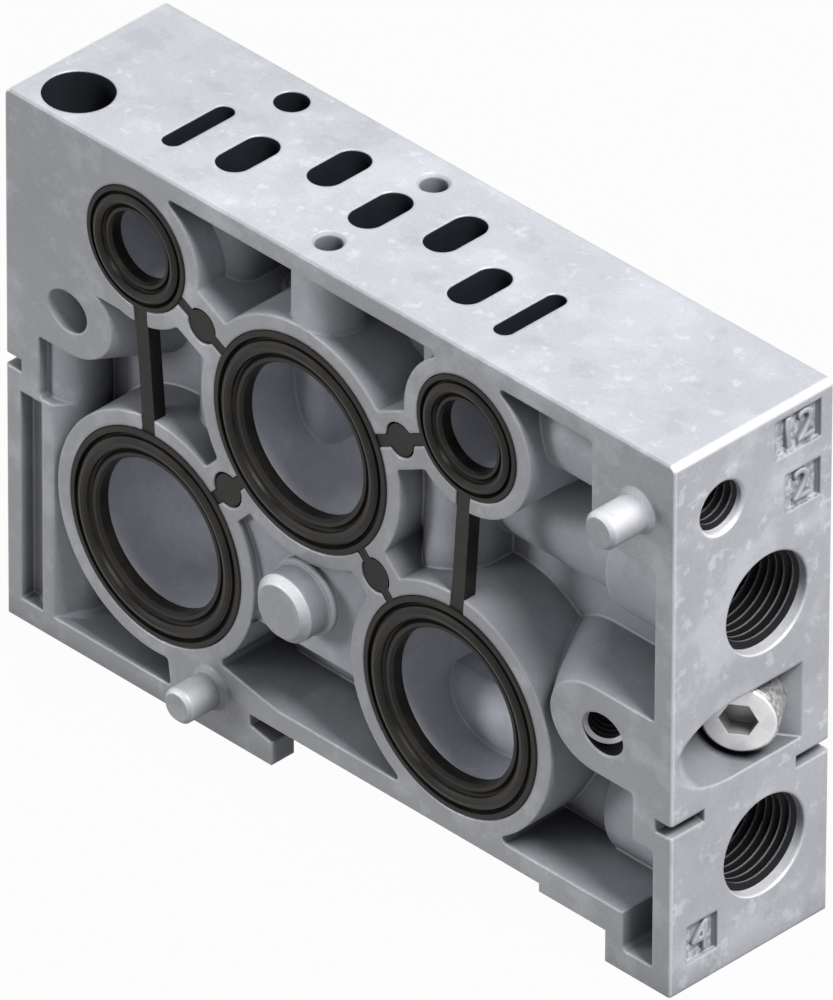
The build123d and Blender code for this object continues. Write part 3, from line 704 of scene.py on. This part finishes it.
def aluminium(name, look):
    """Die-cast aluminium with machined faces, painted highlights on the rims and pins, and painted shade
    in the recesses.
    """
    material, tree, shader = new_material(name)
    place = object_place(tree)
    normal = add_node(tree, "ShaderNodeNewGeometry").outputs["Normal"]
    at = casting_regions(tree, place, normal)
    cut = either(tree, at["front"], at["sides"], at["top"], at["bright"])
    finished = either(tree, cut, at["passages"])
    rounded = rounded_normal(tree, look.edge_width)
    likeness = vector_calc(tree, "DOT_PRODUCT", "Value", rounded, normal)
    edge = spread(tree, likeness, *EDGE_LIKENESS)
    patches = noise(tree, place, look.patch_size, detail=6.0, roughness=0.6)
    grain = noise(tree, place, CAST_GRAIN, detail=4.0, roughness=0.7)

    colour = region_colour(tree, look, at)
    colour = weathered_and_edge_lit(tree, colour, look, at, place, patches, edge)
    colour = speckled(tree, colour, look, at, place, grain)
    colour = recessed(tree, colour, look, at)
    # A painted highlight on the edges and fillets of the cast skin outside the finished faces and the
    # holes
    fillet_highlight = spread(tree, either(tree, finished, at["holes"]), 0, 1, 0.75, 0.0)
    colour = blend(tree, both(tree, edge, fillet_highlight), colour, FILLET_HIGHLIGHT_TINT)
    roughness = spread(tree, patches, 0.35, 0.65, 0.48, 0.36)
    grained = bumped(tree, grain, 0.22, 0.00012, rounded)
    set_inputs(tree, shader, {
        "Base Color": colour,
        "Roughness": calc(tree, "ADD", roughness, spread(tree, cut, 0, 1, 0.2, 0.0)),
        "Normal": bumped(tree, patches, 0.25, 0.0004, grained),
        "Metallic": spread(tree, finished, 0, 1, 0.1, 0.35),
        "Specular IOR Level": spread(tree, at["holes"], 0, 1, 0.35, 0.0),
    })
    return material


def moulded_rubber(look):
    """Black rubber with a dry bloom and a fine grain."""
    material, tree, shader = new_material("moulded_rubber")
    place = object_place(tree)
    bloom = noise(tree, place, RUBBER_BLOOM, detail=5.0, roughness=0.65)
    bloom = spread(tree, bloom, 0.42, 0.72)
    grain = noise(tree, place, RUBBER_GRAIN, detail=3.0)
    set_inputs(tree, shader, {
        "Base Color": blend(tree, bloom, look.colour, look.bloom_colour),
        "Roughness": spread(tree, bloom, 0, 1, 0.36, 0.5),
        "Normal": bumped(tree, grain, 0.15, 0.00005),
        "Specular IOR Level": 0.22,
    })
    return material


def plated_steel(look):
    """Pale plated steel, with painted shade in the hexagons and a knurl pattern round the heads that is
    partly painted shade.
    """
    material, tree, shader = new_material("plated_steel")
    place = object_place(tree)
    stain = noise(tree, place, STEEL_STAIN, detail=4.0, roughness=0.55)
    colour = blend(tree, spread(tree, stain, 0.45, 0.75), look.colour, STAIN_TINT)
    # Painted shade in the hexagon sockets and other near hollows
    light = spread(tree, openness(tree, 0.003, only_local=True), 0.25, 0.85, 0.18, 1.0)
    colour = multiplied(tree, colour, light)
    # A knurl pattern round the heads, darkened partly as painted shade
    cores = round_screws(tree, place, HEAD_R - KNURL_HALF_DEPTH, FAR)
    heads = round_screws(tree, place, HEAD_R + KNURL_HALF_DEPTH, FAR)
    knurl_and_shade = spread(tree, noise(tree, place, KNURLING, detail=1.0), 0.4, 0.6, 0.35, 0.65)
    knurl_and_shade = blend(tree, calc(tree, "SUBTRACT", heads, cores), WHITE, knurl_and_shade)
    rounded = rounded_normal(tree, 0.00012)
    grain = noise(tree, place, STEEL_GRAIN, detail=3.0)
    set_inputs(tree, shader, {
        "Base Color": multiplied(tree, colour, knurl_and_shade),
        "Roughness": spread(tree, stain, 0.3, 0.7, 0.34, 0.42),
        "Normal": bumped(tree, grain, 0.1, 0.00004, rounded),
        "Metallic": 0.6,
    })
    return material


def thread_metal(name, colour, roughness):
    """Metal of a thread in the given colour, with fine tool marks."""
    material, tree, shader = new_material(name)
    marks = noise(tree, object_place(tree), TOOL_MARKS, detail=3.0)
    darker = [0.75 * part for part in colour]
    set_inputs(tree, shader, {
        "Base Color": blend(tree, marks, darker, colour),
        "Roughness": spread(tree, marks, 0.3, 0.7, roughness, roughness + 0.12),
        "Metallic": 0.8,
    })
    return material


class SUBPLATE_OT_finish_casting(bpy.types.Operator):
    """Gives the casting its as-cast skin, machined faces, painted shade in the recesses and painted
    highlights on the edges
    """

    bl_idname = "subplate.finish_casting"
    bl_label = "Finish casting"

    def execute(self, context):
        look = context.scene.subplate_casting
        give(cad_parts["subplate_body"], aluminium("cast_aluminium", look))
        return {"FINISHED"}


class SUBPLATE_OT_finish_gasket(bpy.types.Operator):
    """Gives the gasket its black moulded rubber"""

    bl_idname = "subplate.finish_gasket"
    bl_label = "Finish gasket"

    def execute(self, context):
        give(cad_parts["seal_gasket"], moulded_rubber(context.scene.subplate_gasket))
        return {"FINISHED"}


class SUBPLATE_OT_finish_screws(bpy.types.Operator):
    """Gives both clamp screws their bright plated steel"""

    bl_idname = "subplate.finish_screws"
    bl_label = "Finish clamp screws"

    def execute(self, context):
        material = plated_steel(context.scene.subplate_steel)
        for name in ("clamp_screw_right", "clamp_screw_left"):
            give(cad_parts[name], material)
        return {"FINISHED"}


def ridge_section(thread, sizes, root, top, along, angle):
    """The four corners of a thread at one angle, from the mouth's side inwards."""
    axis = Vector(thread.inward).normalized()
    across = Vector((0, 0, 1))
    outward = across * cos(angle) + axis.cross(across) * sin(angle)
    corners = (
        (root, -sizes.root_share / 2),
        (top, -sizes.crest_share / 2),
        (top, sizes.crest_share / 2),
        (root, sizes.root_share / 2),
    )
    for radius, shift in corners:
        point = Vector(thread.mouth) + axis * (along + shift * thread.pitch) + outward * radius
        yield point * MM


def thread_ridge(name, thread, sizes, materials):
    """A closed helical ridge that stands on the wall of a tapped hole or on a shank.

    Its materials are those of its flanks, its crest and, where there is a third, its first turns.
    """
    in_hole = thread.crest < thread.wall
    root = thread.wall + (RIDGE_ROOT if in_hole else -RIDGE_ROOT)
    turns = (thread.depth - thread.start - thread.pitch) / thread.pitch
    count = ceil(turns * sizes.steps)
    mesh = bmesh.new()
    rings = []
    for step in range(count + 1):
        turn = turns * step / count
        share = min(1.0, RIDGE_GROWTH * turn, RIDGE_GROWTH * (turns - turn))
        share = share * (1 - RIDGE_END_SHARE) + RIDGE_END_SHARE
        top = root + (thread.crest - root) * share
        along = thread.start + thread.pitch / 2 + thread.pitch * turn
        section = ridge_section(thread, sizes, root, top, along, tau * turn)
        rings.append([mesh.verts.new(corner) for corner in section])
    for step, (first, second) in enumerate(zip(rings, rings[1:])):
        is_lit = len(materials) > 2 and turns * step / count < LIT_TURNS
        for side in range(4):
            after = (side + 1) % 4
            face = mesh.faces.new((first[side], first[after], second[after], second[side]))
            is_crest = side == 1
            face.material_index = 2 if is_lit else int(is_crest)
    mesh.faces.new(rings[0])
    mesh.faces.new(rings[-1])
    bmesh.ops.recalc_face_normals(mesh, faces=mesh.faces)
    data = bpy.data.meshes.new(name)
    mesh.to_mesh(data)
    mesh.free()
    ridge = bpy.data.objects.new(name, data)
    bpy.context.scene.collection.objects.link(ridge)
    give(ridge, *materials)
    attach(ridge, "root")


class SUBPLATE_OT_cut_threads(bpy.types.Operator):
    """Adds the threads of the ports, the clamp holes and the clamp screws' ends"""

    bl_idname = "subplate.cut_threads"
    bl_label = "Cut threads"

    def execute(self, context):
        sizes = context.scene.subplate_threads
        # The threads in the holes are painted near black as shade, except the port threads' crests, pale
        # as a painted highlight, and the first turns of the clamp holes, mid grey as painted light; the
        # screw ends are plain steel
        dark = thread_metal("thread_flank", (0.016, 0.016, 0.018), 0.5)
        bright = thread_metal("thread_crest", (0.9, 0.91, 0.93), 0.25)
        lit = thread_metal("thread_first_turn", (0.47, 0.47, 0.49), 0.4)
        steel = thread_metal("thread_steel", (0.62, 0.62, 0.62), 0.3)
        for threads, slot, materials in (
            (PORT_THREADS, "casting", (dark, bright)),
            (CLAMP_THREADS, "casting", (dark, dark, lit)),
            (SCREW_THREADS, "screw", (steel, steel)),
        ):
            for name, thread in threads.items():
                thread_ridge(name + "_thread", thread, sizes, materials)
        return {"FINISHED"}


class SUBPLATE_OT_raise_numbers(bpy.types.Operator):
    """Adds the cast port numbers in their windows on the right end"""

    bl_idname = "subplate.raise_numbers"
    bl_label = "Raise port numbers"

    def execute(self, context):
        sizes = context.scene.subplate_numbers
        floor = (RIGHT_X - WINDOW_DEPTH) * MM
        middle = floor + (sizes.relief - NUMBER_ROOT) / 2
        facing_right = Euler((pi / 2, 0, pi / 2)).to_matrix().to_4x4()
        material = aluminium("number_aluminium", context.scene.subplate_casting)
        for name, window in WINDOWS.items():
            curve = bpy.data.curves.new(name, "FONT")
            curve.body = window.text
            curve.align_x = "CENTER"
            curve.align_y = "CENTER"
            curve.size = sizes.height / FIGURE_SHARE
            curve.extrude = (sizes.relief + NUMBER_ROOT) / 2 - NUMBER_ROUND
            curve.bevel_depth = NUMBER_ROUND
            curve.bevel_resolution = 2
            curve.offset = -NUMBER_INSET
            curve.resolution_u = 6
            number = bpy.data.objects.new(name, curve)
            place = Matrix.Translation((middle, window.y * MM, window.z * MM))
            number.matrix_world = place @ facing_right
            context.scene.collection.objects.link(number)
            give(number, material)
            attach(number, "root")
        return {"FINISHED"}


def white_to_the_camera(tree, shader, amount):
    """The given shader, turned white by an amount where the camera or a reflection looks at it."""
    path = add_node(tree, "ShaderNodeLightPath").outputs
    seen = either(tree, path["Is Camera Ray"], path["Is Glossy Ray"], path["Is Transmission Ray"])
    white = add_node(tree, "ShaderNodeEmission", {"Color": (*WHITE, 1.0), "Strength": 1.0})
    inputs = {0: calc(tree, "MULTIPLY", seen, amount), 1: shader, 2: white.outputs[0]}
    return add_node(tree, "ShaderNodeMixShader", inputs).outputs[0]


class SUBPLATE_OT_set_stage(bpy.types.Operator):
    """Sets the floor, the lights, the sky and the camera"""

    bl_idname = "subplate.set_stage"
    bl_label = "Set stage"

    def add_floor(self, context, look):
        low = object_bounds()[0][2]
        half = look.floor_size / 2
        corners = [(-half, -half, low), (half, -half, low), (half, half, low), (-half, half, low)]
        mesh = bpy.data.meshes.new("floor")
        mesh.from_pydata(corners, [], [(0, 1, 2, 3)])
        floor = bpy.data.objects.new("floor", mesh)
        context.scene.collection.objects.link(floor)
        material = bpy.data.materials.new("floor_paper")
        material.use_nodes = True
        tree = material.node_tree
        tree.nodes.clear()
        cloud = noise(tree, object_place(tree), PAPER_CLOUD, detail=3.0)
        tone = blend(tree, spread(tree, cloud, 0.3, 0.7, 0.0, 0.05), look.floor_colour, PAPER_TINT)
        matt = add_node(tree, "ShaderNodeBsdfDiffuse", {"Color": tone})
        surface = white_to_the_camera(tree, matt.outputs[0], look.floor_white)
        add_node(tree, "ShaderNodeOutputMaterial", {"Surface": surface})
        give(floor, material)
        floor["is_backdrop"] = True

    def add_light(self, context, name, place, size, power, colour):
        data = bpy.data.lights.new(name, "AREA")
        data.shape = "DISK"
        data.size = size
        data.energy = power
        data.color = colour
        lamp = bpy.data.objects.new(name, data)
        lamp.location = place
        lamp.rotation_euler = Vector(place).to_track_quat("Z", "Y").to_euler()
        context.scene.collection.objects.link(lamp)

    def add_sky(self, context, look):
        world = bpy.data.worlds.new("sky")
        context.scene.world = world
        world.use_nodes = True
        tree = world.node_tree
        tree.nodes.clear()
        inputs = {"Color": (*WHITE, 1.0), "Strength": look.sky_strength}
        light = add_node(tree, "ShaderNodeBackground", inputs)
        surface = white_to_the_camera(tree, light.outputs[0], 1.0)
        add_node(tree, "ShaderNodeOutputWorld", {"Surface": surface})

    def add_camera(self, context):
        data = bpy.data.cameras.new("camera")
        data.lens = CAMERA_LENS
        data.clip_end = CAMERA_REACH
        camera = bpy.data.objects.new("camera", data)
        camera.location = CAMERA_PLACE
        camera.rotation_euler = Euler([radians(turn) for turn in CAMERA_TURN])
        context.scene.collection.objects.link(camera)
        context.scene.camera = camera

    def execute(self, context):
        look = context.scene.subplate_stage
        self.add_floor(context, look)
        self.add_light(context, "key_light", KEY_PLACE, look.light_size, look.key_power, WHITE)
        self.add_light(context, "front_light", FRONT_PLACE, look.light_size, look.front_power, FRONT_TINT)
        self.add_sky(context, look)
        self.add_camera(context)
        context.scene.view_settings.view_transform = "Standard"
        return {"FINISHED"}


STEPS = {
    SUBPLATE_OT_finish_casting: ("subplate_casting", CastingLook),
    SUBPLATE_OT_finish_gasket: ("subplate_gasket", GasketLook),
    SUBPLATE_OT_finish_screws: ("subplate_steel", SteelLook),
    SUBPLATE_OT_cut_threads: ("subplate_threads", ThreadSizes),
    SUBPLATE_OT_raise_numbers: ("subplate_numbers", NumberSizes),
    SUBPLATE_OT_set_stage: ("subplate_stage", StageLook),
}


class SUBPLATE_PT_finish(bpy.types.Panel):
    """Lists the steps that finish the subplate, with their sizes and colours"""

    bl_label = "Valve subplate"
    bl_idname = "SUBPLATE_PT_finish"
    bl_space_type = "VIEW_3D"
    bl_region_type = "UI"
    bl_category = "Subplate"

    def draw(self, context):
        for operator, (name, group) in STEPS.items():
            box = self.layout.box()
            box.operator(operator.bl_idname)
            settings = getattr(context.scene, name)
            for key in group.__annotations__:
                box.prop(settings, key)


def register():
    for operator, (name, group) in STEPS.items():
        bpy.utils.register_class(group)
        setattr(bpy.types.Scene, name, bpy.props.PointerProperty(type=group))
        bpy.utils.register_class(operator)
    bpy.utils.register_class(SUBPLATE_PT_finish)


def unregister():
    bpy.utils.unregister_class(SUBPLATE_PT_finish)
    for operator, (name, group) in reversed(STEPS.items()):
        bpy.utils.unregister_class(operator)
        delattr(bpy.types.Scene, name)
        bpy.utils.unregister_class(group)


def main():
    register()
    bpy.ops.subplate.finish_casting()
    bpy.ops.subplate.finish_gasket()
    bpy.ops.subplate.finish_screws()
    bpy.ops.subplate.cut_threads()
    bpy.ops.subplate.raise_numbers()
    bpy.ops.subplate.set_stage()


if __name__ == "__main__":
    main()
